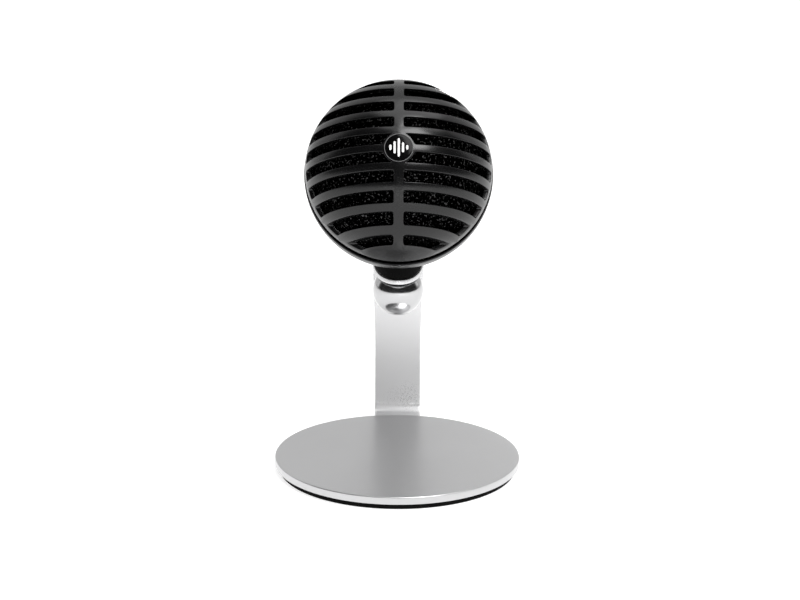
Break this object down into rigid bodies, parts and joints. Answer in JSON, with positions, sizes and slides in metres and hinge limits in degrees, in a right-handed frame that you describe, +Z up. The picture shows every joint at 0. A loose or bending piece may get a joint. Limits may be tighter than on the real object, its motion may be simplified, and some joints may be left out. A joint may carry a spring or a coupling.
{
  "type": "desktop microphone",
  "caption": "Ball-shaped desktop microphone with a slotted grille and rear controls, clamped by a thumbscrew to a dished strip arm on a round disc base.",
  "frame": {"origin": "centre of the base foot's underside, on the table", "axes": "+Z up, -Y the way the microphone faces, +X to the right seen from its front"},
  "size_m": [0.089, 0.0988, 0.143],
  "materials": {
    "satin_aluminium": "satin anodised, bead blasted",
    "polished_metal": "polished",
    "screw_steel": "bright machined",
    "capsule_brass": "machined",
    "satin_black_plastic": "satin black, fine texture",
    "gloss_black_plastic": "gloss black",
    "black_rubber": "matt moulded rubber",
    "black_foam": "open-cell foam",
    "grey_plastic": "moulded",
    "green_board": "solder mask",
    "light_pipe_plastic": "frosted clear"
  },
  "bodies": {
    "stand": {"base_disc": "satin_aluminium", "base_foot": "black_rubber", "arm": "satin_aluminium", "arm_screw_1": "screw_steel", "arm_screw_2": "screw_steel", "cradle_pad": "black_rubber"},
    "tilt_bush": {"slot_bush": "grey_plastic"},
    "microphone": {"rear_shell": "satin_black_plastic", "trim_ring": "gloss_black_plastic", "front_grille": "satin_black_plastic", "badge_disc": "gloss_black_plastic", "badge_ring": "screw_steel", "foam_windscreen": "black_foam", "chassis": "grey_plastic", "chassis_screw_1": "screw_steel", "chassis_screw_2": "screw_steel", "chassis_screw_3": "screw_steel", "capsule_holder": "grey_plastic", "shock_ring": "black_rubber", "capsule_housing": "capsule_brass", "capsule_backplate": "capsule_brass", "capsule_diaphragm": "capsule_brass", "capsule_grid": "screw_steel", "main_board": "green_board", "codec_chip": "gloss_black_plastic", "board_screw_1": "screw_steel", "board_screw_2": "screw_steel", "rear_panel": "satin_black_plastic", "usb_socket": "screw_steel", "headphone_socket": "gloss_black_plastic", "volume_pot": "grey_plastic", "mode_switch": "screw_steel", "mute_switch": "screw_steel", "light_pipe_1": "light_pipe_plastic", "light_pipe_2": "light_pipe_plastic", "light_pipe_3": "light_pipe_plastic", "threaded_insert": "capsule_brass"},
    "clamp": {"clamp_washer": "screw_steel"},
    "thumbscrew": {"thumbscrew_knob": "polished_metal", "thumbscrew_stud": "screw_steel"},
    "dial": {"volume_dial": "satin_black_plastic", "dial_shaft": "screw_steel"},
    "mode_key": {"mode_button": "gloss_black_plastic"},
    "mute_key": {"mute_button": "gloss_black_plastic"}
  },
  "joints": [
    {"name": "mic_tilt", "type": "hinge", "parent": "stand", "child": "tilt_bush", "pos_m": [0, 0.0036, 0.1094], "axis": [1, 0, 0], "range_deg": [-8, 12]},
    {"name": "mic_swivel", "type": "hinge", "parent": "tilt_bush", "child": "microphone", "pos_m": [0, 0.0036, 0.1094], "axis": [0, 0.2588, -0.9659], "range_deg": [-90, 90]},
    {"name": "thumbscrew_travel", "type": "slide", "parent": "microphone", "child": "clamp", "axis": [0, 0.2588, -0.9659], "range_m": [0, 0.0025]},
    {"name": "thumbscrew_turn", "type": "hinge", "parent": "clamp", "child": "thumbscrew", "pos_m": [0, 0.0036, 0.1094], "axis": [0, 0.2588, -0.9659], "range_deg": [0, 708.7]},
    {"name": "volume_dial_turn", "type": "hinge", "parent": "microphone", "child": "dial", "pos_m": [0, 0.0343, 0.10357], "axis": [0, 0.866, -0.5], "range_deg": [-140, 140]},
    {"name": "mode_button_press", "type": "slide", "parent": "microphone", "child": "mode_key", "axis": [0, -0.866, 0.5], "range_m": [0, 0.0006], "stiffness_N_per_m": 600, "springref_m": -0.0005},
    {"name": "mute_button_press", "type": "slide", "parent": "microphone", "child": "mute_key", "axis": [0, -0.866, 0.5], "range_m": [0, 0.0006], "stiffness_N_per_m": 600, "springref_m": -0.0005}
  ],
  "couplings": [
    {"joint": "thumbscrew_turn", "follows": "thumbscrew_travel", "rad_per_m": 4947.4}
  ]
}
